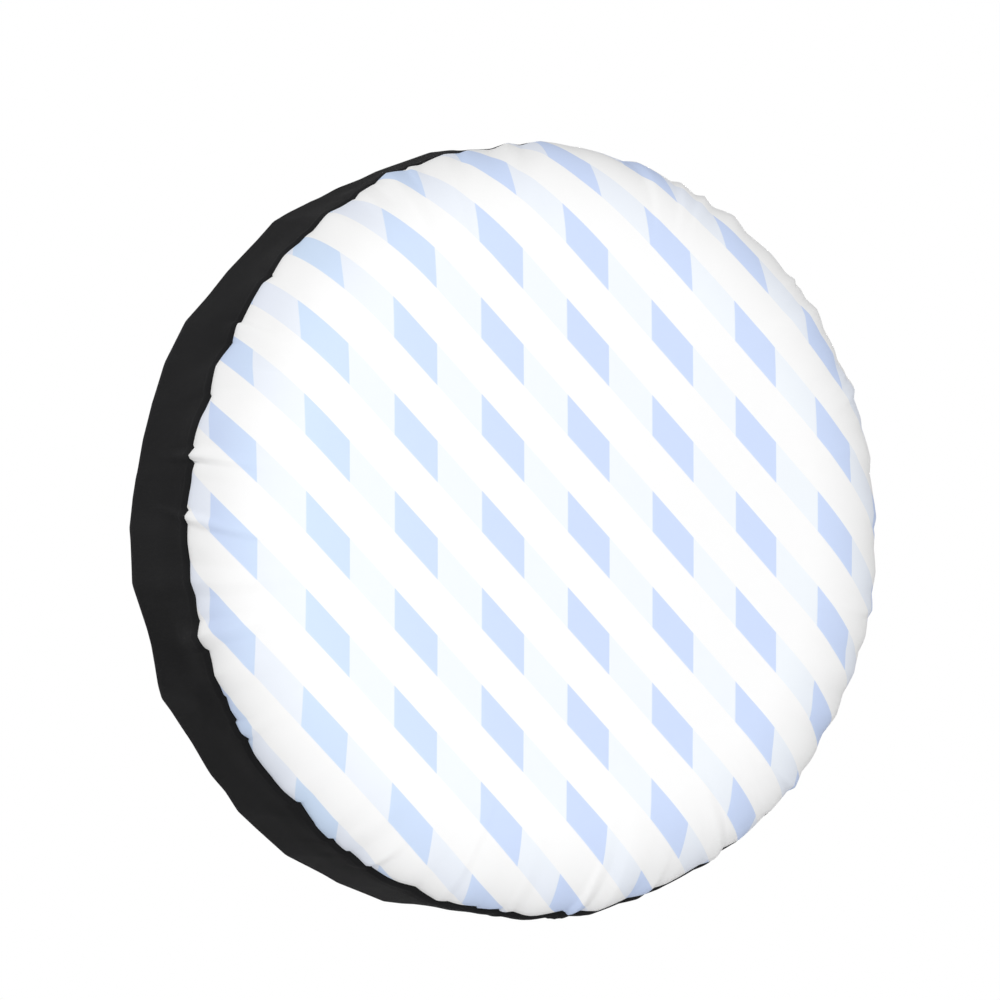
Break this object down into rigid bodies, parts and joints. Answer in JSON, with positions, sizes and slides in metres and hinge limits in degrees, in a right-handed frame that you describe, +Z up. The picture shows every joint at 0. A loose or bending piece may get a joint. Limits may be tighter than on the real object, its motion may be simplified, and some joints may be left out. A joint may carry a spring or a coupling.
{
  "type": "spare tire cover",
  "caption": "Round soft cover for an upright spare wheel: printed face, black side band, elastic rear opening and webbing straps with side-release buckles.",
  "frame": {"origin": "middle of the tyre space, on the wheel's axis", "axes": "+Y out of the rear opening along the wheel's axis, the printed face towards -Y, +Z up"},
  "size_m": [0.736, 0.2301, 0.7371],
  "materials": {
    "printed_cloth": "white polyester with a pale blue printed pattern, faint sheen",
    "black_cloth": "matt black woven polyester",
    "felt": "soft grey non-woven felt",
    "binding_tape": "black twill tape",
    "elastic": "black ribbed elastic",
    "thread": "black polyester thread",
    "webbing": "black ribbed webbing",
    "buckle_plastic": "black moulded plastic, fine grain",
    "eyelet_brass": "pressed brass, satin",
    "label_cloth": "white satin ribbon, blank"
  },
  "bodies": {
    "cover": {"front_panel": "printed_cloth", "front_lining": "felt", "side_band": "black_cloth", "rear_skirt": "black_cloth", "front_seam_binding": "binding_tape", "rear_seam_binding": "binding_tape", "band_join_tape": "binding_tape", "band_join_thread": "thread", "hem_casing": "black_cloth", "hem_elastic": "elastic", "elastic_joint_thread": "thread", "front_seam_thread": "thread", "rear_seam_thread": "thread", "hem_thread": "thread", "patch_thread": "thread", "drain_eyelet": "eyelet_brass", "drain_eyelet_washer": "eyelet_brass", "size_label": "label_cloth", "left_upper_strap_patch": "black_cloth", "left_upper_strap_end": "webbing", "left_lower_strap_patch": "black_cloth", "left_lower_strap_end": "webbing", "right_upper_strap_patch": "black_cloth", "right_upper_strap_end": "webbing", "right_lower_strap_patch": "black_cloth", "right_lower_strap_end": "webbing"},
    "left_upper_webbing": {"left_upper_strap": "webbing", "left_strap_keeper": "elastic"},
    "left_latch": {"left_buckle_latch": "buckle_plastic"},
    "left_lower_webbing": {"left_lower_strap": "webbing"},
    "left_buckle": {"left_buckle_body": "buckle_plastic"},
    "right_upper_webbing": {"right_upper_strap": "webbing", "right_strap_keeper": "elastic"},
    "right_latch": {"right_buckle_latch": "buckle_plastic"},
    "right_lower_webbing": {"right_lower_strap": "webbing"},
    "right_buckle": {"right_buckle_body": "buckle_plastic"}
  },
  "joints": [
    {"name": "left_upper_strap_swing", "type": "hinge", "parent": "cover", "child": "left_upper_webbing", "pos_m": [-0.125, 0.1118, 0.232], "axis": [1, 0, 0], "range_deg": [0, 175]},
    {"name": "left_latch_tilt", "type": "hinge", "parent": "left_upper_webbing", "child": "left_latch", "pos_m": [-0.125, 0.1137, -0.082], "axis": [1, 0, 0], "range_deg": [-60, 75]},
    {"name": "left_lower_strap_swing", "type": "hinge", "parent": "cover", "child": "left_lower_webbing", "pos_m": [-0.125, 0.1137, -0.232], "axis": [1, 0, 0], "range_deg": [0, 180]},
    {"name": "left_buckle_tilt", "type": "hinge", "parent": "left_lower_webbing", "child": "left_buckle", "pos_m": [-0.125, 0.11575, -0.29], "axis": [1, 0, 0], "range_deg": [0, 75]},
    {"name": "right_upper_strap_swing", "type": "hinge", "parent": "cover", "child": "right_upper_webbing", "pos_m": [0.125, 0.1118, 0.232], "axis": [1, 0, 0], "range_deg": [0, 175]},
    {"name": "right_latch_tilt", "type": "hinge", "parent": "right_upper_webbing", "child": "right_latch", "pos_m": [0.125, 0.1137, -0.082], "axis": [1, 0, 0], "range_deg": [-60, 75]},
    {"name": "right_lower_strap_swing", "type": "hinge", "parent": "cover", "child": "right_lower_webbing", "pos_m": [0.125, 0.1137, -0.232], "axis": [1, 0, 0], "range_deg": [0, 180]},
    {"name": "right_buckle_tilt", "type": "hinge", "parent": "right_lower_webbing", "child": "right_buckle", "pos_m": [0.125, 0.11575, -0.29], "axis": [1, 0, 0], "range_deg": [0, 75]}
  ]
}
